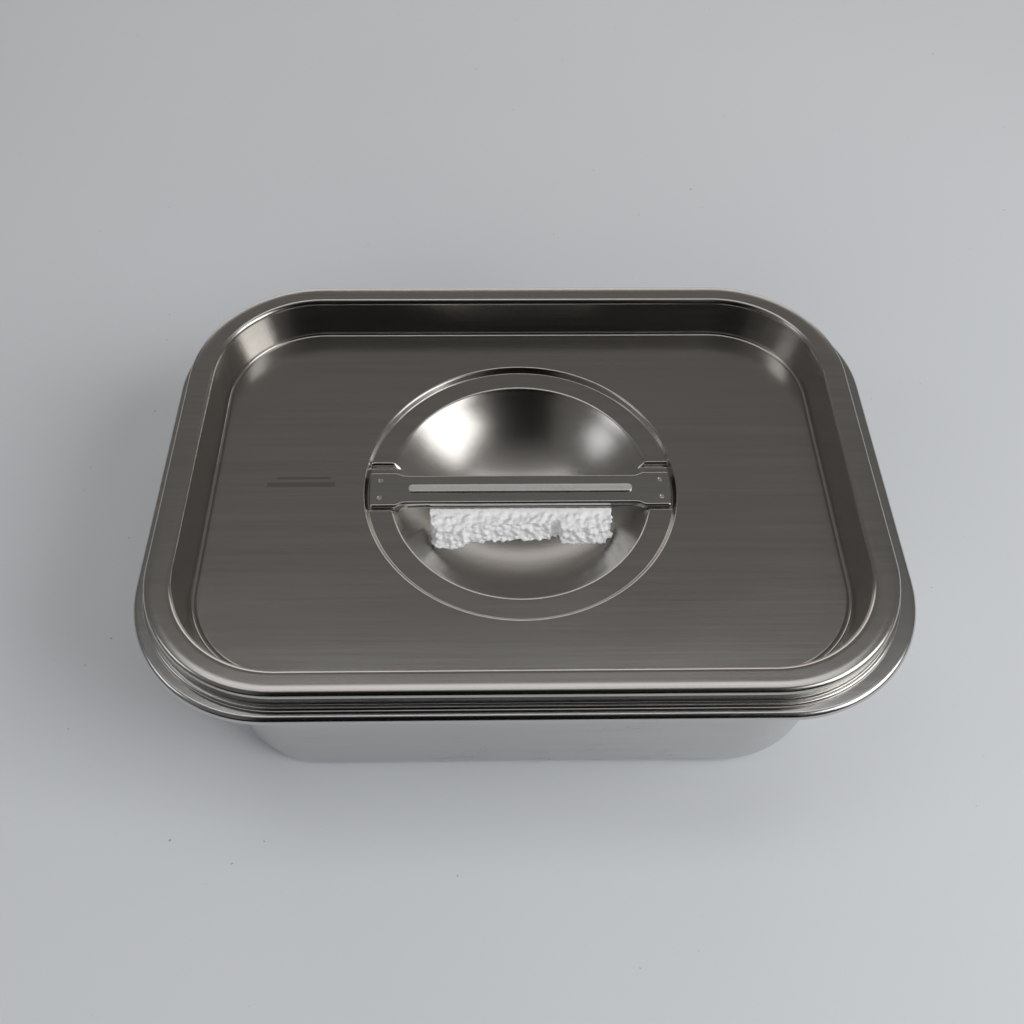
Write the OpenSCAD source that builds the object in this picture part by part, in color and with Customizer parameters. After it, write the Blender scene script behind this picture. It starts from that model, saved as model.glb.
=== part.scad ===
// Instrument tray: a deep-drawn pan, a pressed lid that drops into its mouth,
// a stamped strap handle welded across the lid's finger dish, and a scrap of
// packing foam that lies in the dish in front of the strap.
// Millimetres, +Z up, origin at the middle of the pan's underside.

/* [Pan] */
// Overall length of the pan across its rolled edge
pan_length = 330; // [286:1:400]
// Overall width of the pan across its rolled edge
pan_width = 235.6; // [190:0.2:285]
// Height of the flange's top face above the table
pan_height = 86.9; // [75:0.1:110]
// Corner radius of the rolled edge, seen from above
pan_edge_radius = 62; // [50:1:75]
// Sheet thickness of the pan
pan_sheet = 0.9; // [0.7:0.1:1.2]
// Width of the flange at each end, from the mouth to the rolled edge
end_flange = 18.4; // [14:0.1:24]
// Width of the flange along each side, from the mouth to the rolled edge
side_flange = 9.7; // [8:0.1:14]
// Corner radius of the mouth, seen from above
mouth_radius = 55; // [45:0.5:66]
// How far each wall leans in from the flange to the floor
wall_lean = 7; // [3:0.5:10]
// Radius between the walls and the floor
floor_bend = 7; // [5:0.5:12]
// Radius of the bend from wall to flange
mouth_bend = 2.5; // [1.5:0.1:3.5]
// Outer radius of the rolled edge
roll_radius = 2.4; // [2:0.1:3]

/* [Lid rim] */
// Gap between the mouth and the rim's inner edge, at each end
end_play = 0.6; // [0.4:0.1:3]
// Gap between the mouth and the rim's inner edge, along each side
side_play = 5.9; // [3:0.1:8]
// How much smaller the rim's corner radius is than the mouth's
corner_play = 7; // [3:0.5:10]
// Sheet thickness of the lid
lid_sheet = 0.8; // [0.6:0.1:1]
// Width of the raised rim, from its inner edge to its outer wall
rim_band = 11.3; // [8:0.1:12]
// Height of the rim's top above the pan's flange
rim_height = 11; // [8:0.5:13]
// Drop from the rim's top to the small flange at the foot of the outer wall
skirt_drop = 8.4; // [6:0.1:9.5]
// Width of the small flange beyond the rim's outer wall
lip_width = 2.3; // [2.2:0.1:3.5]
// Drop from the rim's top to the panel
panel_drop = 18.6; // [16:0.2:21]
// How far the sunken wall leans in from the rim to the panel
sunken_lean = 4.3; // [3:0.1:5.5]
// Depth of the groove round the panel, at the wall's foot
groove_depth = 0.7; // [0.4:0.1:1]
// Width of the groove round the panel
groove_width = 2.4; // [2:0.1:3]
// Gap between the lid's lip and the flange it sits on
seat_gap = 0.1; // [0.05:0.05:0.2]
// The lid's place on the pan, to the left of centre
lid_left = 1.3; // [0:0.1:1.6]
// The lid's place on the pan, behind centre
lid_back = 1.4; // [0:0.1:1.6]

/* [Finger dish] */
// Width of the flat ledge between the round step and the dish
ledge_width = 11.5; // [9:0.1:16]
// Depth of the round step below the panel
ring_step = 2.5; // [1.5:0.1:3.5]
// Radius of the dish at its edge
dish_radius = 60.4; // [50:0.1:73]
// Depth of the dish below the ledge
dish_depth = 28; // [24:0.5:32]
// Distance of the dish's centre behind the lid's centre
dish_back = 1.6; // [0:0.1:3]
// Depth of the two pockets that take the strap's ends
pocket_depth = 2.3; // [1.5:0.1:2.8]
// Gap between a pocket's side and the strap's tab, front and back
pocket_play = 3.2; // [2:0.1:5]

/* [Strap handle] */
// Height of the strap, from the underside of its flanges to its top
strap_height = 3.2; // [2.6:0.1:4]
// Sheet thickness of the strap
strap_sheet = 0.9; // [0.7:0.1:1.2]
// Width of the strap between its ends
strap_width = 16.4; // [13:0.1:20]
// How far each end tab stands out past the strap's edges
tab_step = 1.6; // [0.8:0.1:2.4]
// Length of each end tab
tab_length = 13.6; // [12:0.1:15]
// Gap between the strap's end and the pocket's outer wall
strap_end_gap = 0.5; // [0.3:0.1:1]
// Distance of the strap's centre line in front of the dish's centre
strap_front = 2.2; // [1:0.1:2.4]
// Distance of the raised rib from the strap's ends
rib_inset = 18.4; // [16:0.1:25]
// Width of the raised rib
rib_width = 4.6; // [3.6:0.1:6]
// Height of the raised rib above the strap
rib_height = 0.8; // [0.5:0.1:1.2]
// Radius of each weld nugget
weld_radius = 1.2; // [1:0.1:1.6]
// Distance of the welds from the strap's end
weld_inset = 5.4; // [4:0.1:8]
// Distance of the welds from the tab's side edges
weld_edge = 4.9; // [3:0.1:6]
// Depth of the electrode's pit in each weld
weld_pit = 0.3; // [0.2:0.1:0.5]

/* [Packing foam] */
// Length of the foam scrap
foam_length = 85; // [70:1:88]
// Depth of the foam scrap, front to back, over its thinnest stretch
foam_depth = 13.6; // [10:0.2:14]
// Thickness of the foam scrap
foam_height = 9.6; // [6:0.1:11]
// Gap between the foam and the strap
foam_gap = 0.5; // [0.3:0.1:1]
// Gap between the foam's lowest corner and the dish
foam_rest = 0.5; // [0.2:0.1:1]

/* [Hidden] */
$fn = 96;

// Small bends of the sheets, at the middle of their thickness
edge_bend = 2;
foot_bend = 1.1;
lip_bend = 1;
groove_bend = 0.9;
dish_bend = 1.4;
bend_steps = 5;

// The pan
mouth_length = pan_length - 2 * end_flange;
mouth_width = pan_width - 2 * side_flange;
pan_flange_mid = pan_height - pan_sheet / 2;
wall_corner = [mouth_length / 2 - mouth_radius, mouth_width / 2 - mouth_radius];
edge_corner = [pan_length / 2 - pan_edge_radius, pan_width / 2 - pan_edge_radius];
wall_top = mouth_radius + pan_sheet / 2;
wall_foot = wall_top - wall_lean;
floor_reach = wall_foot - floor_bend - 2;
flange_start = wall_top + mouth_bend + 1;
roll_mid = roll_radius - pan_sheet / 2;
roll_start = pan_edge_radius - 2 * roll_radius;

// The lid, with its own centre
lid_centre = [-lid_left, lid_back];
rim_length = mouth_length - 2 * end_play;
rim_width = mouth_width - 2 * side_play;
rim_radius = mouth_radius - corner_play;
rim_top = pan_height + rim_height;
rim_corner = [rim_length / 2 - rim_radius, rim_width / 2 - rim_radius];
panel_top = rim_top - panel_drop;
panel_mid = panel_top - lid_sheet / 2;
sunken_foot = rim_radius + lid_sheet / 2 - sunken_lean;
panel_edge = sunken_foot - groove_width;
panel_reach = panel_edge - 2;
rim_outside = rim_radius + rim_band - lid_sheet / 2;
lip_outside = rim_radius + rim_band + lip_width - lid_sheet / 2;

// The dish, on its own centre
dish_centre = [lid_centre[0], lid_centre[1] + dish_back];
ledge_top = panel_top - ring_step;
ledge_mid = ledge_top - lid_sheet / 2;
ball_radius = (dish_radius * dish_radius + dish_depth * dish_depth) / (2 * dish_depth);
ball_middle = ball_radius + lid_sheet / 2;
ball_height = ledge_top - dish_depth + ball_radius;
ball_angle = asin(dish_radius / ball_radius);
ring_radius = dish_radius + ledge_width;
ring_mid = ring_radius + lid_sheet / 2;
ring_slope = 1;
ring_reach = ring_mid + 3;
pocket_floor = ledge_top - pocket_depth;
pocket_end = ring_radius - ring_slope;
pocket_start = dish_radius - 6;
pocket_corner = 2;
pocket_width = strap_width + 2 * (tab_step + pocket_play);

// The strap, its welds and the foam
strap_centre = [dish_centre[0], dish_centre[1] - strap_front];
strap_half = pocket_end - strap_end_gap;
strap_top = pocket_floor + strap_height;
strap_clear = 0.2;
tab_width = strap_width + 2 * tab_step;
rib_length = 2 * (strap_half - rib_inset);
weld_x = strap_half - weld_inset;
weld_y = tab_width / 2 - weld_edge;
tab_corner = 1.5;
foam_back = strap_centre[1] - strap_width / 2 - foam_gap;
left_bulge = 3.2;
right_bulge = 1.6;
notch_depth = 3.4;
notch_x = foam_length / 5;
foam_outline = let (half = foam_length / 2) [
    [-half, 0],
    [-half + 0.8, -foam_depth + 2],
    [-half + 4, -foam_depth - left_bulge],
    [-half + 18, -foam_depth - left_bulge],
    [-half + 18.5, -foam_depth - 0.6],
    [0, -foam_depth],
    [notch_x - 3, -foam_depth + 0.4],
    [notch_x - 2, -foam_depth + notch_depth],
    [notch_x, -foam_depth + notch_depth],
    [notch_x + 0.4, -foam_depth - right_bulge],
    [half - 4, -foam_depth - right_bulge + 0.6],
    [half, -foam_depth + 3],
    [half, 0]];
foam_place = [strap_centre[0] - dish_centre[0], foam_back - dish_centre[1]];
foam_reach = max([for (p = foam_outline) norm(foam_place + p)]);
foam_base = foam_rest + ball_height - sqrt(ball_radius * ball_radius - foam_reach * foam_reach);

// A sheet's cross-section. The path is a list of [r, z, bend]: the middle of
// the sheet, with the radius of each bend.
function along(path, i) = let (d = [path[i + 1][0] - path[i][0], path[i + 1][1] - path[i][1]])
    d / norm(d);
function left_of(d) = [-d[1], d[0]];
function turn(a, b) = atan2(a[0] * b[1] - a[1] * b[0], a[0] * b[0] + a[1] * b[1]);

// The points of one bend, with the path moved sideways by off
function bend(path, i, off) = let (
        a = along(path, i - 1),
        b = along(path, i),
        angle = turn(a, b),
        side = angle > 0 ? 1 : -1,
        radius = path[i][2] - side * off,
        mitre = (left_of(a) + left_of(b)) / (1 + a * b),
        vertex = [path[i][0], path[i][1]] + off * mitre,
        start = vertex - a * radius * tan(abs(angle) / 2),
        centre = start + side * radius * left_of(a))
    [for (k = [0:bend_steps]) let (t = angle * k / bend_steps, v = start - centre)
        centre + [v[0] * cos(t) - v[1] * sin(t), v[0] * sin(t) + v[1] * cos(t)]];

// One side of the sheet, from end to end
function side_points(path, off) = let (last = len(path) - 1)
    concat(
        [[path[0][0], path[0][1]] + off * left_of(along(path, 0))],
        [for (i = [1:last - 1]) each bend(path, i, off)],
        [[path[last][0], path[last][1]] + off * left_of(along(path, last - 1))]);

function reversed(list) = [for (i = [len(list) - 1:-1:0]) list[i]];

module sheet_section(path, sheet) {
    polygon(concat(side_points(path, sheet / 2), reversed(side_points(path, -sheet / 2))));
}

// Sweeps its child, a section of [r, z], round a rectangle with round corners,
// whose corner centres are at +-corner
module sweep_round(corner) {
    for (k = [0:3]) {
        sx = k == 0 || k == 3 ? 1 : -1;
        sy = k < 2 ? 1 : -1;
        translate([sx * corner[0], sy * corner[1], 0])
            rotate([0, 0, 90 * k])
            rotate_extrude(angle = 90)
            children();
    }
    for (k = [0:3]) {
        run = k % 2 == 0 ? corner[1] : corner[0];
        away = k % 2 == 0 ? corner[0] : corner[1];
        rotate([0, 0, 90 * k])
            translate([away, run, 0])
            rotate([90, 0, 0])
            linear_extrude(2 * run)
            children();
    }
}

// A flat outline: corner centres at +-corner, and a corner radius
module round_outline(corner, radius) {
    square([2 * corner[0], 2 * (corner[1] + radius)], center = true);
    square([2 * (corner[0] + radius), 2 * corner[1]], center = true);
    for (sx = [-1, 1]) {
        for (sy = [-1, 1]) {
            translate([sx * corner[0], sy * corner[1]])
                circle(radius);
        }
    }
}

// The pan: floor, leaning walls, flange and rolled edge, drawn from one sheet
module tray_pan() {
    wall_path = [
        [floor_reach - 1, pan_sheet / 2, 0],
        [wall_foot, pan_sheet / 2, floor_bend],
        [wall_top, pan_flange_mid, mouth_bend],
        [flange_start + 1, pan_flange_mid, 0]];
    roll_path = [
        [roll_start - 1, pan_flange_mid, 0],
        [pan_edge_radius - pan_sheet / 2, pan_flange_mid, roll_mid],
        [pan_edge_radius - pan_sheet / 2, pan_flange_mid - 2 * roll_mid, roll_mid],
        [roll_start + 0.6, pan_flange_mid - 2 * roll_mid, 0]];
    color("silver") {
        linear_extrude(pan_sheet)
            round_outline(wall_corner, floor_reach);
        sweep_round(wall_corner)
            sheet_section(wall_path, pan_sheet);
        translate([0, 0, pan_height - pan_sheet])
            linear_extrude(pan_sheet)
            difference() {
                round_outline(edge_corner, roll_start);
                round_outline(wall_corner, flange_start);
            }
        sweep_round(edge_corner)
            sheet_section(roll_path, pan_sheet);
    }
}

// The rim's section, from the lip over the rim and down to the panel
module rim_section() {
    path = [
        [lip_outside, pan_height + seat_gap, 0],
        [lip_outside, rim_top - skirt_drop - lid_sheet / 2, lip_bend],
        [rim_outside, rim_top - skirt_drop - lid_sheet / 2, foot_bend],
        [rim_outside, rim_top - lid_sheet / 2, edge_bend],
        [rim_radius + lid_sheet / 2, rim_top - lid_sheet / 2, edge_bend],
        [sunken_foot, panel_mid - groove_depth, foot_bend],
        [panel_edge + groove_bend, panel_mid - groove_depth, groove_bend / 2],
        [panel_edge, panel_mid, groove_bend],
        [panel_reach - 1, panel_mid, 0]];
    sheet_section(path, lid_sheet);
}

// The section of the round step and the dish, from the panel to the middle
module dish_section() {
    join = ball_angle - 3;
    step_path = [
        [ring_reach, panel_mid, 0],
        [ring_mid, panel_mid, groove_bend],
        [ring_mid - ring_slope, ledge_mid, groove_bend],
        [dish_radius + lid_sheet / 2, ledge_mid, dish_bend],
        [ball_middle * sin(join), ball_height - ball_middle * cos(join), 0]];
    sheet_section(step_path, lid_sheet);
    translate([0, ball_height])
        intersection() {
            difference() {
                circle(ball_radius + lid_sheet);
                circle(ball_radius);
            }
            polygon([
                [0, 0],
                [0, -2 * ball_radius],
                2 * ball_radius * [sin(join + 0.5), -cos(join + 0.5)]]);
        }
}

// The space of one pocket, larger by grow on every side but the open ones
module pocket_block(grow, top) {
    half = pocket_width / 2 + grow;
    end = pocket_end + grow;
    translate([0, 0, pocket_floor - grow])
        linear_extrude(top - pocket_floor + grow) {
            translate([pocket_start, -half])
                square([end - pocket_start - pocket_corner - grow, 2 * half]);
            translate([pocket_start, -half + pocket_corner + grow])
                square([end - pocket_start, 2 * (half - pocket_corner - grow)]);
            for (s = [-1, 1]) {
                translate([end - pocket_corner - grow, s * (half - pocket_corner - grow)])
                    circle(pocket_corner + grow);
            }
        }
}

module both_pockets(grow, top) {
    for (side = [0, 180]) {
        rotate([0, 0, side])
            pocket_block(grow, top);
    }
}

// The lid: rim, sunken panel, round step, ledge, strap pockets and dish
module lid_shell() {
    hole = ring_reach - 1;
    color("silver")
        difference() {
            union() {
                translate([lid_centre[0], lid_centre[1], 0]) {
                    sweep_round(rim_corner)
                        rim_section();
                    translate([0, 0, panel_top - lid_sheet])
                        linear_extrude(lid_sheet)
                        difference() {
                            round_outline(rim_corner, panel_reach);
                            translate([0, dish_back])
                                circle(hole);
                        }
                }
                translate([dish_centre[0], dish_centre[1], 0]) {
                    rotate_extrude()
                        dish_section();
                    difference() {
                        both_pockets(lid_sheet, ledge_top - lid_sheet / 2);
                        translate([0, 0, ball_height])
                            sphere(ball_middle);
                    }
                }
            }
            translate([dish_centre[0], dish_centre[1], 0])
                both_pockets(0, strap_top + strap_clear);
        }
}

// The strap's plan, smaller by inset all round
module strap_outline(inset) {
    neck = strap_half - tab_length;
    square([2 * (strap_half - inset), strap_width - 2 * inset], center = true);
    for (side = [-1, 1]) {
        for (edge = [-1, 1]) {
            translate([side * (strap_half - tab_corner), edge * (tab_width / 2 - tab_corner)])
                circle(tab_corner - inset);
        }
        translate([side * (neck + strap_half - tab_corner) / 2, 0])
            square([tab_length - tab_corner, tab_width - 2 * inset], center = true);
        translate([side * (neck + strap_half + tab_corner) / 2, 0])
            square([tab_length - tab_corner - 2 * inset, tab_width - 2 * tab_corner], center = true);
    }
}

// The rib's plan
module rib_outline(width) {
    square([rib_length - rib_width, width], center = true);
    for (side = [-1, 1]) {
        translate([side * (rib_length - rib_width) / 2, 0])
            circle(width / 2);
    }
}

// The strap handle: a plate with its edges turned down and a raised rib
module handle_strap() {
    color("lightgrey")
        translate([strap_centre[0], strap_centre[1], 0])
        difference() {
            union() {
                translate([0, 0, pocket_floor])
                    linear_extrude(strap_height)
                    strap_outline(0);
                translate([0, 0, strap_top])
                    linear_extrude(rib_height)
                    rib_outline(rib_width);
            }
            translate([0, 0, pocket_floor - 1])
                linear_extrude(strap_height - strap_sheet + 1)
                strap_outline(strap_sheet);
            translate([0, 0, strap_top - strap_sheet - 0.5])
                linear_extrude(rib_height + 0.5)
                rib_outline(rib_width - 2 * strap_sheet);
            weld_places()
                cylinder(h = strap_height + 1, r = weld_radius);
        }
}

// The places of the four welds, at the pockets' floor
module weld_places() {
    for (side = [-1, 1]) {
        for (edge = [-1, 1]) {
            translate([side * weld_x, edge * weld_y, pocket_floor])
                children();
        }
    }
}

// The four weld nuggets, each with the electrode's pit in its top
module spot_welds() {
    color("dimgray")
        translate([strap_centre[0], strap_centre[1], 0])
        weld_places()
        difference() {
            cylinder(h = strap_height, r = weld_radius);
            translate([0, 0, strap_height - weld_pit])
                cylinder(h = weld_pit + 1, r1 = weld_radius / 3, r2 = weld_radius);
        }
}

// The foam scrap: a bar with a broken front edge, thicker at both ends
module packing_foam() {
    color("white")
        translate([strap_centre[0], foam_back, foam_base])
        linear_extrude(foam_height)
        polygon(foam_outline);
}

tray_pan();
lid_shell();
handle_strap();
spot_welds();
packing_foam();
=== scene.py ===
import math

import bmesh
import bpy
from mathutils import Matrix, Vector


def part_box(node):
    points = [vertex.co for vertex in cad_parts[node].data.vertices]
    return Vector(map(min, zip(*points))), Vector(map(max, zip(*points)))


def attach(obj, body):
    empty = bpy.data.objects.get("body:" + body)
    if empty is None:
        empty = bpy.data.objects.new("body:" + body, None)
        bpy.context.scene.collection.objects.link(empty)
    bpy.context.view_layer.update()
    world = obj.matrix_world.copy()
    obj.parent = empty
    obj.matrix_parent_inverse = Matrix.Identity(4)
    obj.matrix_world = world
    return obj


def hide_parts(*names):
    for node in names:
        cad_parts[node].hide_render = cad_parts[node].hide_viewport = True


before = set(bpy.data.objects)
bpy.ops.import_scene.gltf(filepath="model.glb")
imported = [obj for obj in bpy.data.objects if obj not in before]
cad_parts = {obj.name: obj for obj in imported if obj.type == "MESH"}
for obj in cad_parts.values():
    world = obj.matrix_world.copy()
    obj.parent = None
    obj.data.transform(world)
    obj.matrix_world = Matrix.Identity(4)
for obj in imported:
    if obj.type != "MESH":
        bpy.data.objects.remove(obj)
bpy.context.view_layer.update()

MM = 0.001
FACING = 0.9                   # a face whose normal goes this far along an axis faces that way
BEND_STEP = math.radians(11)   # the longest step along a drawn bend
TINY = 0.01                    # places nearer than this, in mm, count as the same
DOUBLES = 0.004                # how near two points must be, in mm, to be merged before thickening


# ---------------------------------------------------------------- bench work

def clear():
    """Back to object mode with nothing selected."""
    if bpy.context.object and bpy.context.object.mode != "OBJECT":
        bpy.ops.object.mode_set(mode="OBJECT")
    bpy.ops.object.select_all(action="DESELECT")


def take(piece):
    """Selects one piece and nothing else."""
    clear()
    piece.select_set(True)
    bpy.context.view_layer.objects.active = piece


def edit(piece=None):
    if piece:
        take(piece)
    bpy.ops.object.mode_set(mode="EDIT")


def done():
    bpy.ops.object.mode_set(mode="OBJECT")
    return bpy.context.object


def named(name):
    piece = bpy.context.object
    piece.name = piece.data.name = name
    return piece


def pick(kind, rule):
    """In edit mode, selects the vertices, edges or faces that meet a rule and nothing else."""
    bpy.ops.mesh.select_mode(type=kind)
    bpy.ops.mesh.select_all(action="DESELECT")
    mesh = bmesh.from_edit_mesh(bpy.context.object.data)
    parts = {"VERT": mesh.verts, "EDGE": mesh.edges, "FACE": mesh.faces}[kind]
    for part in parts:
        if rule(part):
            part.select_set(True)
    mesh.select_flush_mode()
    bmesh.update_edit_mesh(bpy.context.object.data)


def middle(edge):
    return (edge.verts[0].co + edge.verts[1].co) / 2


def rounded(path, closed=False, least=3):
    """The corners [a, b, radius] of a bent line, each bend drawn out into points."""
    out = []
    count = len(path)
    for i, (a, b, radius) in enumerate(path):
        here = Vector((a, b))
        if not closed and i in (0, count - 1) or radius == 0:
            out.append(here)
            continue
        before = (here - Vector(path[i - 1][:2])).normalized()
        after = (Vector(path[(i + 1) % count][:2]) - here).normalized()
        angle = math.atan2(before.cross(after), before.dot(after))
        side = 1 if angle > 0 else -1
        start = here - before * radius * math.tan(abs(angle) / 2)
        centre = start + side * radius * Vector((-before.y, before.x))
        steps = max(least, math.ceil(abs(angle) / BEND_STEP))
        for k in range(steps + 1):
            out.append(centre + Matrix.Rotation(angle * k / steps, 2) @ (start - centre))
    return out


def holding(points, gap=0.35, long=1.6):
    """Adds points near both ends of each long straight stretch, to keep its shading flat."""
    out = [points[0]]
    for a, b in zip(points, points[1:]):
        length = (b - a).length
        if length > long:
            out += [a + (b - a) * gap / length, b - (b - a) * gap / length]
        out.append(b)
    return out


def open_edges(height, slack=0.1):
    """A rule for pick: the open edges that lie within slack of a height."""
    return lambda edge: edge.is_boundary and abs(middle(edge).z - height * MM) < slack * MM


def lay_line(points):
    """In edit mode, with one vertex selected: moves it to the first point and draws on from there."""
    bpy.ops.transform.translate(value=points[0])
    for a, b in zip(points, points[1:]):
        bpy.ops.mesh.extrude_region_move(TRANSFORM_OT_translate={"value": b - a})


def one_vertex(name):
    """Starts a piece as a single vertex at the origin, and stays in edit mode."""
    clear()
    bpy.ops.mesh.primitive_plane_add(size=MM)
    named(name)
    edit()
    bpy.ops.mesh.select_mode(type="VERT")
    bpy.ops.mesh.select_all(action="SELECT")
    bpy.ops.mesh.merge(type="CENTER")


def push(x=0, y=0, z=0):
    """In edit mode: extrudes what is selected."""
    bpy.ops.mesh.extrude_region_move(TRANSFORM_OT_translate={"value": (x * MM, y * MM, z * MM)})


def turn(angle, steps, centre):
    """In edit mode: spins what is selected about an upright axis, by an angle in degrees."""
    bpy.ops.mesh.spin(steps=steps, angle=-math.radians(angle), axis=(0, 0, 1),
                      center=(centre[0] * MM, centre[1] * MM, 0))


def step_top(steps):
    """In edit mode: draws the top face in and up by each (inset, rise) in turn."""
    for inset, rise in steps:
        pick("FACE", lambda face: face.normal.z > FACING and len(face.verts) > 8)
        bpy.ops.mesh.inset(thickness=inset * MM, depth=rise * MM)


def apply(piece, kind, **settings):
    take(piece)
    modifier = piece.modifiers.new(kind.title(), kind)
    for key, value in settings.items():
        setattr(modifier, key, value)
    bpy.ops.object.modifier_apply(modifier=modifier.name)


def sweep(name, points, corner, steps=22):
    """A sheet's section drawn round a rectangle with round corners: a quarter, then mirrored twice."""
    one_vertex(name)
    lay_line([Vector(((corner[0] + p.x) * MM, 0, p.y * MM)) for p in points])
    bpy.ops.mesh.select_all(action="SELECT")
    push(y=corner[1])
    turn(90, steps, corner)
    push(x=-corner[0])
    piece = done()
    apply(piece, "MIRROR", use_axis=(True, True, False), merge_threshold=TINY * MM)
    return piece


def move_to(piece, x, y, z=0):
    """Moves a piece's mesh from the origin to its place."""
    edit(piece)
    bpy.ops.mesh.select_all(action="SELECT")
    bpy.ops.transform.translate(value=(x * MM, y * MM, z * MM))
    done()


def tidy_normals(piece):
    edit(piece)
    bpy.ops.mesh.select_all(action="SELECT")
    bpy.ops.mesh.remove_doubles(threshold=DOUBLES * MM)
    bpy.ops.mesh.normals_make_consistent(inside=False)
    done()


def thicken(piece, sheet, offset=0.0):
    """Gives a surface the sheet's thickness, centred on it or, at offset -1, all on the inside."""
    tidy_normals(piece)
    apply(piece, "SOLIDIFY", thickness=sheet * MM, offset=offset, use_even_offset=True)


def break_edges(piece, width, angle=50, segments=2):
    apply(piece, "BEVEL", width=width * MM, segments=segments, limit_method="ANGLE",
          angle_limit=math.radians(angle), harden_normals=False)


def smooth(piece, angle=40):
    take(piece)
    bpy.ops.object.shade_smooth_by_angle(angle=math.radians(angle))
    apply(piece, "WEIGHTED_NORMAL", keep_sharp=True, weight=60)


def join(first, *others):
    take(first)
    for piece in others:
        piece.select_set(True)
    bpy.ops.object.join()
    return first


def combine(piece, tool, how):
    """Cuts or adds a solid tool, then removes it."""
    apply(piece, "BOOLEAN", object=tool, operation=how, solver="EXACT")
    bpy.data.objects.remove(tool)


# ---------------------------------------------------------------- sizes, in mm

PAN_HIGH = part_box("tray_pan")[1]
PAN_TOP = PAN_HIGH.z / MM
PAN_HALF = (PAN_HIGH.x / MM, PAN_HIGH.y / MM)
LID_LOW, LID_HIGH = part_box("lid_shell")
LID_TOP = LID_HIGH.z / MM
LID_MIDDLE = ((LID_LOW.x + LID_HIGH.x) / 2 / MM, (LID_LOW.y + LID_HIGH.y) / 2 / MM)
STRAP_LOW, STRAP_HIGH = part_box("handle_strap")
STRAP_MIDDLE = ((STRAP_LOW.x + STRAP_HIGH.x) / 2 / MM, (STRAP_LOW.y + STRAP_HIGH.y) / 2 / MM)
FOAM_LOW, FOAM_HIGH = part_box("packing_foam")

SHEET = 0.9
WALL_CORNER, WALL_RADIUS = (91.6, 53.1), 55.45
EDGE_RADIUS, ROLL = 62.0, 2.4
EDGE_CORNER = (PAN_HALF[0] - EDGE_RADIUS, PAN_HALF[1] - EDGE_RADIUS)
WALL_LEAN, FLOOR_BEND, MOUTH_BEND = 7.0, 7.0, 2.5

LID_SHEET = 0.8
RIM_CORNER, RIM_RADIUS, RIM_BAND = (98.0, 54.2), 48.0, 11.3
SKIRT_DROP, LIP, PANEL_DROP, SUNKEN_LEAN = 8.4, 2.3, 18.6, 4.3
RIM_FALL = 0.45
GROOVE_DEPTH, GROOVE_WIDTH = 0.7, 2.4
PANEL_TOP = LID_TOP - PANEL_DROP

DISH_BACK = 1.6
DISH_MIDDLE = (LID_MIDDLE[0], LID_MIDDLE[1] + DISH_BACK)
RING_RADIUS, RING_STEP, DISH_RADIUS, DISH_DEPTH = 71.9, 2.5, 60.4, 28.0
LEDGE_TOP = PANEL_TOP - RING_STEP
POCKET_DEPTH, POCKET_HALF, POCKET_START = 2.3, 13.0, 40
DEEPEST_PRESS = RING_STEP + POCKET_DEPTH
POCKET_FLOOR = LEDGE_TOP - POCKET_DEPTH
BALL = (DISH_RADIUS ** 2 + DISH_DEPTH ** 2) / (2 * DISH_DEPTH)
BALL_HEIGHT = LEDGE_TOP - DISH_DEPTH + BALL

STRAP_HALF, STRAP_WIDTH, TAB_WIDTH, TAB_LENGTH, STRAP_SHEET = 70.4, 16.4, 19.6, 13.6, 0.9
STRAP_HEIGHT = 3.2
STRAP_BEND = 1.15
RIB_LENGTH, RIB_WIDTH, RIB_WALL, RIB_SUNK = 104.0, 4.6, 0.7, 0.62
FROST_LINE = 0.6
HEM_LENGTH, HEM_RADIUS, HEM_END, HEM_OUT = 104.0, 0.42, 0.12, 0.02
WELD_X, WELD_Y, WELD_RADIUS = 65.0, 4.9, 1.2
WELD_PLACES = [(STRAP_MIDDLE[0] + sx * WELD_X, STRAP_MIDDLE[1] + sy * WELD_Y)
               for sx in (-1, 1) for sy in (-1, 1)]
BEAD, LUMP, FOAM_RELIEF = 2.7, 9.0, 2.4


# ---------------------------------------------------------------- the pan

def make_pan():
    low = SHEET / 2
    flange = PAN_TOP - SHEET / 2
    roll = ROLL - SHEET / 2
    foot = WALL_RADIUS - WALL_LEAN
    floor_margin, flat, tuck = 6, 0.8, 0.6
    # each corner is a distance out, a height and a bend radius
    wall = rounded([
        [foot - FLOOR_BEND - floor_margin, low, 0],
        [foot, low, FLOOR_BEND],
        [WALL_RADIUS, flange, MOUTH_BEND],
        [WALL_RADIUS + MOUTH_BEND + flat, flange, 0]])
    body = sweep("pan", holding(wall), WALL_CORNER)
    edge = rounded([
        [EDGE_RADIUS - 2 * ROLL - flat, flange, 0],
        [EDGE_RADIUS - low, flange, roll],
        [EDGE_RADIUS - low, flange - 2 * roll, roll],
        [EDGE_RADIUS - 2 * ROLL + tuck, flange - 2 * roll, 0]], least=8)
    rolled = sweep("pan_edge", edge, EDGE_CORNER)
    pan = join(body, rolled)
    edit(pan)
    pick("EDGE", open_edges(low))
    bpy.ops.mesh.edge_face_add()
    # the flat flange between the mouth's bend and the rolled edge
    pick("EDGE", open_edges(flange))
    bpy.ops.mesh.fill(use_beauty=True)
    done()
    thicken(pan, SHEET)
    break_edges(pan, 0.2)
    smooth(pan)
    return pan


# ---------------------------------------------------------------- the lid

def step(t):
    """Eases from 0 to 1 as t goes from 0 to 1."""
    t = min(1.0, max(0.0, t))
    return t * t * (3 - 2 * t)


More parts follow.
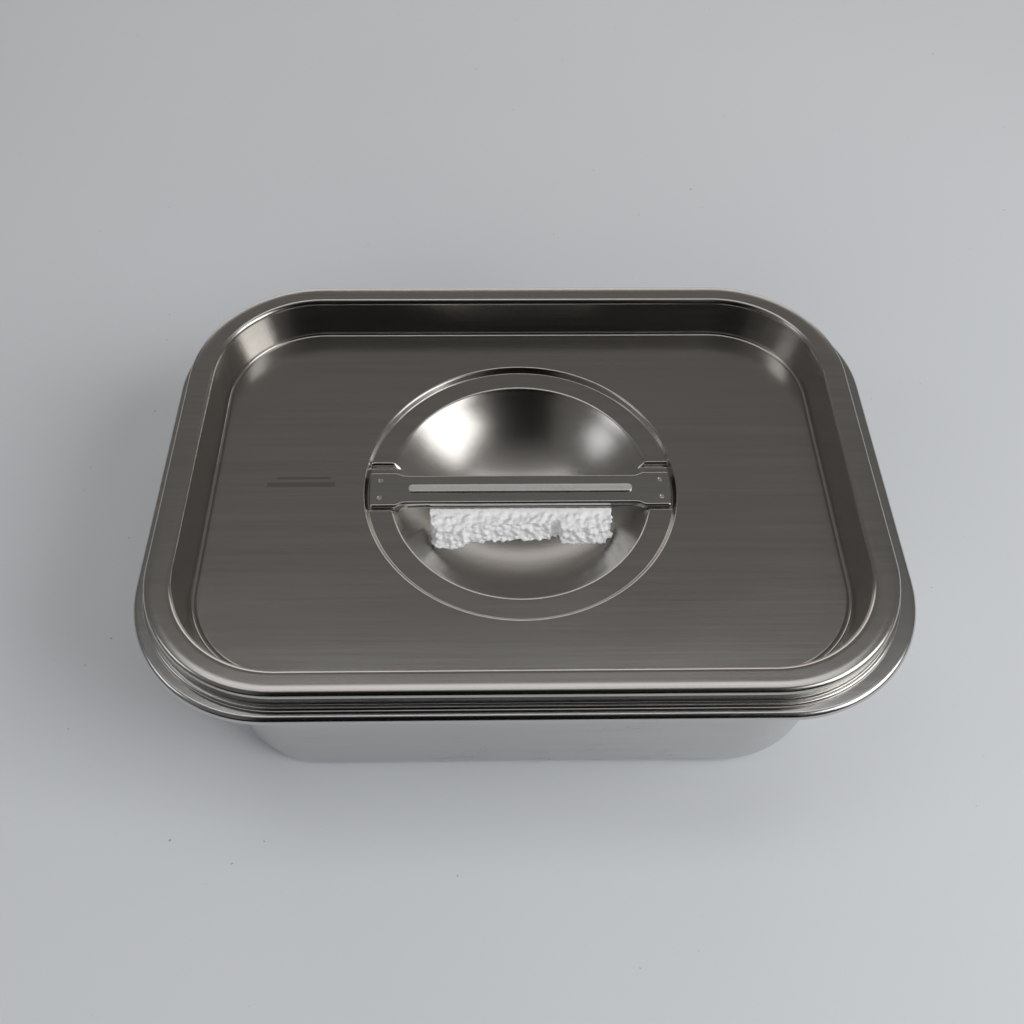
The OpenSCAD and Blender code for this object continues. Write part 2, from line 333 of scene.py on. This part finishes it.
def pocket_weight(place):
    """How far down the pocket's pressing moves a point of the lid, as a share of the deepest move."""
    x, y, z = (place.x / MM, place.y / MM, place.z / MM)
    out = math.hypot(x, y)
    end_edge, side_edge = RING_RADIUS + 0.4, POCKET_HALF + 0.9
    ease, side_slope, end_slope = 0.6, 1.7, 1.1
    if abs(x) < POCKET_START or out > end_edge:
        return 0
    above = z - (POCKET_FLOOR - LID_SHEET / 2)
    if above <= -ease:
        return 0
    drop = above if above > ease else (above + ease) ** 2 / (4 * ease)
    side = step((side_edge - abs(y)) / side_slope)
    end = step((end_edge - out) / end_slope)
    return drop * side * end / DEEPEST_PRESS


def make_lid():
    top = LID_TOP - LID_SHEET / 2
    panel = PANEL_TOP - LID_SHEET / 2
    lip = LID_TOP - SKIRT_DROP - LID_SHEET / 2
    outside = RIM_RADIUS + RIM_BAND - LID_SHEET / 2
    lip_end = outside + LIP
    foot = RIM_RADIUS + LID_SHEET / 2 - SUNKEN_LEAN
    groove = foot - GROOVE_WIDTH
    over_pan, crown, groove_side, panel_margin = 0.1, 3.6, 0.9, 2.5
    # each corner is a distance out, a height and a bend radius
    rim = rounded([
        [lip_end, PAN_TOP + over_pan, 0],
        [lip_end, lip, 1.0],
        [outside, lip, 1.1],
        [outside, top - RIM_FALL, 2.0],
        [outside - crown, top, 14],
        [RIM_RADIUS + LID_SHEET / 2, top, 2.4],
        [foot, panel - GROOVE_DEPTH, 1.8],
        [groove + groove_side, panel - GROOVE_DEPTH, 0.6],
        [groove, panel, 0.9],
        [groove - panel_margin, panel, 0]], least=5)
    lid = sweep("lid", holding(rim), RIM_CORNER)
    move_to(lid, *LID_MIDDLE)

    ledge = LEDGE_TOP - LID_SHEET / 2
    ring = RING_RADIUS + LID_SHEET / 2
    ball = BALL + LID_SHEET / 2
    ring_margin, ring_out, ring_in, mouth_out = 4, 0.35, 1.35, 0.1
    mouth_bend, ledge_steps, arcs = math.radians(2.4), 12, 34
    edge_angle = math.asin(DISH_RADIUS / BALL) - mouth_bend
    section = rounded([
        [ring + ring_margin, panel, 0],
        [ring + ring_out, panel, 1.1],
        [ring - ring_in, ledge, 1.1],
        [DISH_RADIUS + LID_SHEET / 2 + mouth_out, ledge, 1.9],
        [ball * math.sin(edge_angle), BALL_HEIGHT - ball * math.cos(edge_angle), 0]], least=6)
    # the ledge is crossed by the pockets, so it is drawn in short steps
    ledge_run = [p for p in section if abs(p.y - ledge) < TINY / 10]
    start, end = ledge_run[0], ledge_run[-1]
    at = section.index(start) + 1
    section[at:at] = [start + (end - start) * k / ledge_steps for k in range(1, ledge_steps)]
    for k in range(1, arcs + 1):
        angle = edge_angle * (1 - k / arcs)
        section.append(Vector((ball * math.sin(angle), BALL_HEIGHT - ball * math.cos(angle))))
    one_vertex("dish")
    lay_line([Vector((0, p.x * MM, p.y * MM)) for p in section])
    bpy.ops.mesh.select_all(action="SELECT")
    # coarse past the front and back, fine where each pocket's sides cross
    quarter, across, pocket = (75.5, 30), (151, 60), ((5, 20), (19, 10), (5, 20))
    for angle, steps in (quarter, *pocket, across, *pocket, quarter):
        turn(angle, steps, (0, 0))
    dish = done()
    tidy_normals(dish)
    group = dish.vertex_groups.new(name="pocket")
    for vertex in dish.data.vertices:
        weight = pocket_weight(vertex.co)
        if weight > 0:
            group.add([vertex.index], weight, "REPLACE")
    apply(dish, "DISPLACE", direction="Z", mid_level=0, vertex_group="pocket",
          strength=-DEEPEST_PRESS * MM)
    move_to(dish, *DISH_MIDDLE)
    join(lid, dish)
    edit(lid)
    pick("EDGE", open_edges(panel, slack=0.05))
    bpy.ops.mesh.fill(use_beauty=True)
    done()
    thicken(lid, LID_SHEET)
    break_edges(lid, 0.2, angle=60)
    smooth(lid)
    return lid


# ---------------------------------------------------------------- the strap handle

def strap_outline():
    """The strap's plan about its own middle, anticlockwise, with ends that follow the round step."""
    shift = STRAP_MIDDLE[1] - DISH_MIDDLE[1]
    half, tab = STRAP_WIDTH / 2, TAB_WIDTH / 2
    neck = STRAP_HALF - TAB_LENGTH
    narrow, wide, end_gap = neck - 2.6, neck + 0.6, 0.15

    def end_x(y):
        return math.sqrt(STRAP_HALF ** 2 - (y + shift) ** 2) - end_gap

    right = [[narrow, -half, 5], [wide, -tab, 3], [end_x(-tab), -tab, 1.5]]
    right += [[end_x(y), y, 0] for y in (-6, -3, 0, 3, 6)]
    right += [[end_x(tab), tab, 1.5], [wide, tab, 3], [narrow, half, 5]]
    left = [[-x, y, r] for x, y, r in reversed(right)]
    return rounded(right + left, closed=True)


def make_rib():
    """The raised rib: a long ring of points, stepped up and in to a rounded top."""
    clear()
    bpy.ops.mesh.primitive_circle_add(vertices=32, radius=RIB_WIDTH / 2 * MM, fill_type="NGON")
    rib = named("rib")
    edit()
    run = (RIB_LENGTH - RIB_WIDTH) / 2 * MM
    for side in (-1, 1):
        pick("VERT", lambda v, s=side: v.co.x * s > TINY * MM)
        bpy.ops.transform.translate(value=(side * run, 0, 0))
    bpy.ops.mesh.select_all(action="SELECT")
    push(z=RIB_WALL)
    step_top(((0.06, 0.3), (0.12, 0.22), (0.22, 0.18), (0.3, 0.1), (0.3, 0.0), (0.25, -0.08)))
    done()
    tidy_normals(rib)
    move_to(rib, STRAP_MIDDLE[0], STRAP_MIDDLE[1], POCKET_FLOOR + STRAP_HEIGHT - RIB_SUNK)
    return rib


def rod(x, y, low, high, radius, sides=24):
    clear()
    bpy.ops.mesh.primitive_cylinder_add(vertices=sides, radius=radius * MM, depth=(high - low) * MM,
                                        location=(x * MM, y * MM, (low + high) / 2 * MM))
    bpy.ops.object.transform_apply(location=True, rotation=True, scale=True)
    return bpy.context.object


def make_strap():
    one_vertex("strap")
    points = [Vector((p.x * MM, p.y * MM, 0)) for p in strap_outline()]
    lay_line(points)
    bpy.ops.mesh.select_all(action="SELECT")
    bpy.ops.mesh.edge_face_add()
    strap = done()
    edit(strap)
    bpy.ops.mesh.select_all(action="SELECT")
    bpy.ops.mesh.normals_make_consistent(inside=False)
    bpy.ops.mesh.select_all(action="SELECT")
    push(z=STRAP_HEIGHT)
    # the open underside
    pick("FACE", lambda f: abs(f.normal.z) > FACING and f.calc_center_median().z < STRAP_SHEET / 2 * MM)
    bpy.ops.mesh.delete(type="FACE")
    pick("EDGE", lambda e: all(abs(v.co.z - STRAP_HEIGHT * MM) < TINY * MM for v in e.verts))
    bpy.ops.mesh.bevel(offset=STRAP_BEND * MM, segments=5, affect="EDGES", profile=0.5)
    done()
    thicken(strap, STRAP_SHEET, offset=-1)
    move_to(strap, STRAP_MIDDLE[0], STRAP_MIDDLE[1], POCKET_FLOOR)
    break_edges(strap, 0.22, angle=55)
    combine(strap, make_rib(), "UNION")
    past = 1
    for x, y in WELD_PLACES:
        hole = rod(x, y, POCKET_FLOOR - past, POCKET_FLOOR + STRAP_HEIGHT + past, WELD_RADIUS)
        combine(strap, hole, "DIFFERENCE")
    smooth(strap)
    return strap


def make_hems():
    """The small turned-out lip at the foot of each of the strap's long edges."""
    hems = []
    for side in (-1, 1):
        clear()
        bpy.ops.mesh.primitive_cylinder_add(vertices=12, radius=HEM_RADIUS * MM, depth=HEM_LENGTH * MM,
                                            rotation=(0, math.pi / 2, 0))
        bpy.ops.object.transform_apply(location=True, rotation=True, scale=True)
        hem = named("strap_hem_front" if side < 0 else "strap_hem_back")
        edit()
        pick("FACE", lambda f: abs(f.normal.x) > FACING)
        bpy.ops.mesh.inset(thickness=HEM_END * MM, depth=HEM_END * MM)
        done()
        move_to(hem, STRAP_MIDDLE[0], STRAP_MIDDLE[1] + side * (STRAP_WIDTH / 2 + HEM_OUT),
                POCKET_FLOOR + HEM_RADIUS)
        hems.append(hem)
    return hems


def make_welds():
    """One weld nugget with the electrode's pit, then three copies."""
    clear()
    bpy.ops.mesh.primitive_circle_add(vertices=28, radius=WELD_RADIUS * MM, fill_type="NGON")
    first = named("weld_1")
    edit()
    bpy.ops.mesh.select_all(action="SELECT")
    below_top = 0.05
    push(z=STRAP_HEIGHT - below_top)
    step_top(((0.1, 0.08), (0.14, 0.0), (0.16, -0.12), (0.2, -0.16), (0.2, -0.05)))
    done()
    tidy_normals(first)
    welds = [first]
    for number in (2, 3, 4):
        take(first)
        bpy.ops.object.duplicate()
        welds.append(named(f"weld_{number}"))
    for weld, (x, y) in zip(welds, WELD_PLACES):
        move_to(weld, x, y, POCKET_FLOOR)
        smooth(weld, 50)
    return welds


# ---------------------------------------------------------------- the foam scrap

def make_foam():
    half = (FOAM_HIGH.x - FOAM_LOW.x) / 2 / MM
    back = FOAM_HIGH.y / MM
    height = (FOAM_HIGH.z - FOAM_LOW.z) / MM
    depth = 13.6
    bulge, lean, grain, under = 0.9, 3.4, 0.48, 0.35
    least, most, most_on_top, top_band = 0.12, 1.0, 0.75, 1.6
    flat_back, fade, front = 1.5, 3, 6
    # the torn front's plan, from the left end round to the right
    outline = [
        (-half + 0.4, 0), (-half + 0.9, -depth + 3), (-half + 2.2, -depth - 0.4),
        (-half + 3.6, -depth - 2.7), (-half + 9, -depth - 2.9), (-half + 16.5, -depth - 2.9),
        (-half + 17, -depth - 0.4), (-half + 25, -depth + 0.1), (-8, -depth + 0.9),
        (4, -depth + 1.6), (13, -depth + 1.3), (15.2, -depth + 3.4), (17.4, -depth + 3.6),
        (18, -depth - 1.1), (24, -depth - 1.0), (31, -depth - 1.2), (38, -depth - 0.2),
        (half - 1.2, -depth + 2.6), (half - 0.5, 0)]
    one_vertex("foam")
    lay_line([Vector((x * MM, y * MM, 0)) for x, y in outline])
    bpy.ops.mesh.select_all(action="SELECT")
    bpy.ops.mesh.edge_face_add()
    bpy.ops.mesh.select_all(action="SELECT")
    push(z=height - bulge)
    # the torn front leans back
    pick("VERT", lambda v: v.co.z > height / 2 * MM and v.co.y < -front * MM)
    bpy.ops.transform.translate(value=(0, lean * MM, 0))
    foam = done()
    tidy_normals(foam)
    apply(foam, "REMESH", mode="VOXEL", voxel_size=grain * MM, use_smooth_shade=True)
    broken = foam.vertex_groups.new(name="broken")
    for vertex in foam.data.vertices:
        from_back = -vertex.co.y / MM
        limit = most_on_top if vertex.co.z / MM > height - top_band else most
        share = step((from_back - flat_back) / fade)
        broken.add([vertex.index], least + (limit - least) * share, "REPLACE")
    beads = bpy.data.textures.new("beads", "VORONOI")
    beads.noise_scale = BEAD * MM
    beads.distance_metric = "DISTANCE"
    lumps = bpy.data.textures.new("lumps", "CLOUDS")
    lumps.noise_scale = LUMP * MM
    lumps.noise_depth = 2
    apply(foam, "DISPLACE", texture=lumps, strength=FOAM_RELIEF * MM, mid_level=0.55,
          vertex_group="broken", texture_coords="LOCAL")
    apply(foam, "DISPLACE", texture=beads, strength=-FOAM_RELIEF * MM, mid_level=0.3,
          vertex_group="broken", texture_coords="LOCAL")
    move_to(foam, (FOAM_LOW.x + FOAM_HIGH.x) / 2 / MM, back, FOAM_LOW.z / MM + under)
    take(foam)
    bpy.ops.object.shade_smooth()
    return foam


# ---------------------------------------------------------------- finishes

class Wire:
    """A socket that can be worked on with plain arithmetic."""

    def __init__(self, board, socket):
        self.board, self.socket = board, socket

    def maths(self, operation, a, b):
        return self.board.node("ShaderNodeMath", {"operation": operation}, [a, b])

    def __add__(self, other):
        return self.maths("ADD", self, other)

    def __sub__(self, other):
        return self.maths("SUBTRACT", self, other)

    def __rsub__(self, other):
        return self.maths("SUBTRACT", other, self)

    def __mul__(self, other):
        return self.maths("MULTIPLY", self, other)

    def __pow__(self, other):
        return self.maths("POWER", self, other)

    __radd__ = __add__
    __rmul__ = __mul__


class Board:
    """The node board of one finish."""

    def __init__(self, name):
        self.material = bpy.data.materials.new(name)
        self.material.use_nodes = True
        self.tree = self.material.node_tree
        self.tree.nodes.clear()

    def node(self, kind, settings=None, values=None, out=0):
        made = self.tree.nodes.new(kind)
        for key, value in (settings or {}).items():
            setattr(made, key, value)
        pairs = values.items() if isinstance(values, dict) else enumerate(values or [])
        for key, value in pairs:
            if isinstance(value, Wire):
                self.tree.links.new(value.socket, made.inputs[key])
            else:
                made.inputs[key].default_value = value
        return Wire(self, made.outputs[out]) if made.outputs else None

    def place(self, scale, shift=(0, 0, 0)):
        """Object coordinates in millimetres, stretched and shifted."""
        at = self.node("ShaderNodeTexCoord", out="Object")
        size = tuple(s / MM for s in scale)
        return self.node("ShaderNodeMapping", {}, {"Vector": at, "Location": shift, "Scale": size})

    def noise(self, size, detail=2.0, stretch=(1, 1, 1), rough=0.5, shift=(0, 0, 0)):
        """Cloudy noise, its grains about size millimetres across."""
        at = self.place(tuple(s / size for s in stretch), shift=shift)
        return self.node("ShaderNodeTexNoise", {}, {"Vector": at, "Scale": 1.0, "Detail": detail,
                                                    "Roughness": rough}, out="Fac")

    def limits(self, value, low, high, to_low=0.0, to_high=1.0):
        """The value's run from low to high, spread from to_low to to_high and held there."""
        return self.node("ShaderNodeMapRange", {"clamp": True}, [value, low, high, to_low, to_high])

    def between(self, value, low, high, soft):
        """1 from low to high, and 0 past a soft edge on each side."""
        return (self.limits(value, low - soft, low)
                * self.limits(value, high, high + soft, 1.0, 0.0))

    # a Mix node has sockets 2 and 3 for numbers, and 6 and 7 for colours
    def blend(self, share, a, b):
        """Two colours mixed, b by its share."""
        return self.node("ShaderNodeMix", {"data_type": "RGBA"}, {0: share, 6: a, 7: b}, out=2)

    def mix(self, share, a, b):
        """Two numbers mixed, b by its share."""
        return self.node("ShaderNodeMix", {"data_type": "FLOAT"}, {0: share, 2: a, 3: b})

    def axes(self):
        """Object coordinates in metres, as three wires."""
        at = self.node("ShaderNodeTexCoord", out="Object")
        parts = self.node("ShaderNodeSeparateXYZ", {}, [at]).socket.node
        return [Wire(self, part) for part in parts.outputs]

    def finish(self, inputs, bump=None, strength=0.1, depth=0.1):
        """Ends the board in a shader and gives its material; the bump's depth is in mm."""
        shader = self.node("ShaderNodeBsdfPrincipled", {}, inputs)
        if bump is not None:
            normal = self.node("ShaderNodeBump", {}, {"Height": bump, "Strength": strength,
                                                      "Distance": depth * MM})
            self.tree.links.new(normal.socket, shader.socket.node.inputs["Normal"])
        self.node("ShaderNodeOutputMaterial", {}, {"Surface": shader})
        return self.material


def grey(level, warm=0.0):
    """A grey that a positive warm turns towards brown."""
    return (level * (1 + warm), level, level * (1 - 1.4 * warm), 1)


def brushed_steel(name, level, warm, rough, smudges=0.0, dish=None, marks=()):
    """Sheet steel with fine straight brushing along X, handling haze and a few fine scratches."""
    board = Board(name)
    fine = board.noise(1.0, 3.0, (0.012, 1.15, 1.15), 0.6)
    coarse = board.noise(1.0, 2.0, (0.006, 0.22, 0.22), 0.5, (7, 3, 1))
    haze = board.noise(46.0, 3.0, (0.7, 1.3, 1.0))
    scratch = board.limits(board.noise(1.0, 1.0, (0.02, 2.6, 2.6), 0.4, (31, 5, 9)), 0.72, 0.8)
    roughness = (fine - 0.5) * 0.05 + (coarse - 0.5) * 0.03 + (haze - 0.5) * 0.06 + rough
    shade = board.limits(fine * 0.6 + coarse * 0.4, 0.3, 0.7)
    colour = board.blend(shade, grey(level * 0.94, warm), grey(level * 1.06, warm * 0.8))
    colour = board.blend(scratch * 0.18, colour, grey(level * 1.25, warm * 0.5))
    grain = fine + coarse * 0.4
    if smudges:
        smear = board.limits(board.noise(19.0, 4.0, (0.8, 1, 2.2), 0.62, (3, 8, 2)), 0.6, 0.72)
        colour = board.blend(smear * smudges, colour, grey(level * 0.62, warm))
        roughness = roughness + smear * 0.12
    if dish:
        # the dish is smoother than the sheet round it, up to its mouth
        x, y = board.axes()[:2]
        middle_x, middle_y, radius = dish
        across, along = x - middle_x, y - middle_y
        out = (across * across + along * along) ** 0.5
        inside = board.limits(out, radius - 1.2 * MM, radius - 0.2 * MM, 1.0, 0.0)
        roughness = board.mix(inside, roughness, roughness * 0.4 + 0.18)
        grain = grain * (1 - inside * 0.75)
    if marks:
        x, y = board.axes()[:2]
        soft = 0.2 * MM
        bars = sum(board.between(x, left, right, soft) * board.between(y, front, back, soft)
                   for left, right, front, back in marks)
        colour = board.blend(bars * 0.7, colour, grey(level * 0.5, warm * 1.5))
        roughness = roughness + bars * 0.05
    return board.finish({"Base Color": colour, "Metallic": 1.0, "Roughness": roughness},
                        grain, strength=0.02, depth=0.01)


def frosted_steel(name, frost_line):
    """The strap: brushed along its length, and its rib frosted paler above a height in metres."""
    board = Board(name)
    fine = board.noise(1.0, 3.0, (0.02, 1.3, 1.3), 0.6)
    speck = board.noise(0.7, 3.0, (1, 1, 1), 0.7)
    height = board.axes()[2]
    on_rib = board.limits(height, frost_line, frost_line + 0.15 * MM)
    roughness = (fine - 0.5) * 0.06 + 0.22 + on_rib * (0.18 + speck * 0.18)
    colour = board.blend(board.limits(fine, 0.3, 0.7), grey(0.53, 0.02), grey(0.6, 0.01))
    colour = board.blend(on_rib, colour, board.blend(board.limits(speck, 0.35, 0.65),
                                                     grey(0.78, 0.0), grey(0.93, -0.01)))
    return board.finish({"Base Color": colour, "Metallic": 1.0, "Roughness": roughness},
                        fine * 0.3 + on_rib * speck * 1.2, strength=0.12, depth=0.05)


def weld_steel(name):
    """The weld spots: steel mottled by the heat."""
    board = Board(name)
    burn = board.noise(0.8, 2.0)
    colour = board.blend(board.limits(burn, 0.35, 0.65), grey(0.4, 0.02), grey(0.66, 0.01))
    return board.finish({"Base Color": colour, "Metallic": 1.0, "Roughness": burn * 0.2 + 0.2},
                        burn, strength=0.3, depth=0.1)


def bead_foam(name):
    """White bead foam: pale grey lines where beads meet, painted shade in the crevices between them;
    bright fresh-broken beads.
    """
    board = Board(name)
    at = board.place((1 / BEAD,) * 3)
    cell = board.node("ShaderNodeTexVoronoi", {"feature": "DISTANCE_TO_EDGE"},
                      {"Vector": at, "Scale": 1.0}, out="Distance")
    # painted shade: darker towards each bead's edge, where the bump makes the crevices between beads
    crevice_shade = board.limits(cell, 0.0, 0.14, 1.0, 0.0)
    grain = board.noise(0.5, 2.0)
    # the grey is the painted crevice shade between beads
    colour = board.blend(crevice_shade * 0.35, (0.94, 0.955, 0.965, 1), (0.8, 0.82, 0.845, 1))
    height = board.limits(cell, 0.0, 0.4) + grain * 0.25
    return board.finish({"Base Color": colour, "Roughness": 0.62, "Subsurface Weight": 0.25,
                         "Subsurface Radius": (0.004, 0.004, 0.004), "Subsurface Scale": 0.3,
                         "Specular IOR Level": 0.4}, height, strength=0.35, depth=0.3)


def tabletop(name):
    """A pale matt table with faint clouding and a few dark flecks."""
    board = Board(name)
    broad = board.noise(420.0, 3.0)
    fleck = board.limits(board.noise(3.2, 1.0, (1, 1, 1), 0.4), 0.8, 0.82)
    colour = board.blend(broad, (0.69, 0.725, 0.77, 1), (0.78, 0.81, 0.845, 1))
    colour = board.blend(fleck * 0.6, colour, (0.25, 0.25, 0.26, 1))
    return board.finish({"Base Color": colour, "Roughness": 0.42, "Specular IOR Level": 0.35},
                        board.noise(9.0, 3.0), strength=0.02, depth=0.2)


# ---------------------------------------------------------------- make and dress the pieces

def dress(piece, finish, body, slot, *nodes):
    """Gives a piece its finish, the body it moves with and the CAD nodes it stands for."""
    piece.data.materials.clear()
    piece.data.materials.append(finish)
    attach(piece, body)
    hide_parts(*nodes)


pan = make_pan()
dress(pan, brushed_steel("pan_finish", 0.6, 0.005, 0.2, smudges=0.18), "pan", "pan_steel", "tray_pan")

lid = make_lid()
# two plain bars etched on the panel: left, right, front and back, in metres
ETCHED = [(-0.118, -0.087, 0.0012, 0.0036), (-0.114, -0.0895, 0.0056, 0.0068)]
dish_place = (DISH_MIDDLE[0] * MM, DISH_MIDDLE[1] * MM, DISH_RADIUS * MM)
dress(lid, brushed_steel("lid_finish", 0.54, 0.03, 0.21, dish=dish_place, marks=ETCHED),
      "lid", "lid_steel", "lid_shell")

strap_finish = frosted_steel("strap_finish", (POCKET_FLOOR + STRAP_HEIGHT + FROST_LINE) * MM)
strap = make_strap()
dress(strap, strap_finish, "lid", "strap_steel", "handle_strap")
for hem in make_hems():
    smooth(hem)
    dress(hem, strap_finish, "lid", "strap_steel", "handle_strap")

weld_finish = weld_steel("weld_finish")
for weld in make_welds():
    dress(weld, weld_finish, "lid", "weld_steel", "spot_welds")

foam = make_foam()
dress(foam, bead_foam("foam_finish"), "foam", "bead_foam", "packing_foam")


# ---------------------------------------------------------------- floor, lamps, camera

clear()
bpy.ops.mesh.primitive_plane_add(size=8)
floor = named("floor")
floor.data.materials.append(tabletop("tabletop"))


def aimed(place):
    """The turn that points a lamp's or a card's own -Z from a place at the tray."""
    return (Vector((0, 0, 0.08)) - Vector(place)).to_track_quat("-Z", "Y").to_euler()


def lamp(name, place, width, depth, power, colour=(1, 1, 1)):
    """A rectangular lamp, sized in metres, that faces the tray."""
    light = bpy.data.lights.new(name, "AREA")
    light.shape, light.size, light.size_y = "RECTANGLE", width, depth
    light.energy, light.color = power, colour
    lit = bpy.data.objects.new(name, light)
    bpy.context.scene.collection.objects.link(lit)
    lit.location, lit.rotation_euler = place, aimed(place)
    return lit


WINDOW, WINDOW_SIDE = (1.15, -0.45, 1.0), 0.95
lamp("window_right", WINDOW, WINDOW_SIDE, WINDOW_SIDE, 7.5, (1.0, 0.985, 0.965))
lamp("window_left", (-1.35, -0.22, 1.05), 0.5, 0.5, 1.1, (0.94, 0.97, 1.0))
lamp("lamp_over", (0.0, 0.33, 1.8), 2.0, 0.46, 3.0)
lamp("wall_behind", (0.0, 2.1, 0.7), 3.0, 0.9, 9.0, (1.0, 0.95, 0.92))
# these brighten only what isn't steel
for fill in (lamp("window_fill", WINDOW, WINDOW_SIDE, WINDOW_SIDE, 6.8),
             lamp("ceiling_fill", (0.3, 0.5, 2.2), 2.6, 2.6, 2.0),
             lamp("front_fill", (-0.5, -1.6, 0.9), 1.6, 0.9, 7.5)):
    fill.visible_glossy = False


def flag(name, place, width, height):
    """A dark card that only reflections see, as a studio puts one round the camera."""
    clear()
    bpy.ops.mesh.primitive_plane_add(size=1)
    card = named(name)
    edit()
    bpy.ops.transform.resize(value=(width, height, 1))
    done()
    card.location, card.rotation_euler = place, aimed(place)
    card.data.materials.append(Board(name).finish(
        {"Base Color": grey(0.001), "Roughness": 1.0, "Specular IOR Level": 0.0}))
    card.visible_camera = card.visible_shadow = card.visible_diffuse = False


flag("camera_flag", (0.0, -0.85, 0.95), 1.0, 1.3)
flag("low_flag", (0.0, -1.3, 0.32), 3.0, 0.66)

world = bpy.data.worlds.new("room")
bpy.context.scene.world = world
world.use_nodes = True
world.node_tree.nodes["Background"].inputs["Color"].default_value = (0.135, 0.13, 0.122, 1)

# the camera's place and lens in mm, and its turn
EYE, SENSOR, LENS = Vector((-12.66, -279.46, 455.9)), 36.0, 35.743359375
PITCH, YAW, ROLLED = math.radians(54.779), math.radians(1.552), math.radians(-0.944)
ahead = Vector((math.sin(YAW), math.cos(YAW), 0))
up = Vector((0, 0, 1))
look = ahead * math.cos(PITCH) - up * math.sin(PITCH)
down = -ahead * math.sin(PITCH) - up * math.cos(PITCH)
right = Vector((math.cos(YAW), -math.sin(YAW), 0))
tilted_right = right * math.cos(ROLLED) + down * math.sin(ROLLED)
tilted_down = -right * math.sin(ROLLED) + down * math.cos(ROLLED)
camera = bpy.data.cameras.new("camera")
camera.sensor_width, camera.lens = SENSOR, LENS
eye = bpy.data.objects.new("camera", camera)
bpy.context.scene.collection.objects.link(eye)
turned = Matrix((tilted_right, -tilted_down, -look)).transposed()
eye.matrix_world = Matrix.Translation(EYE * MM) @ turned.to_4x4()
bpy.context.scene.camera = eye
bpy.context.scene.view_settings.view_transform = "Standard"

clear()
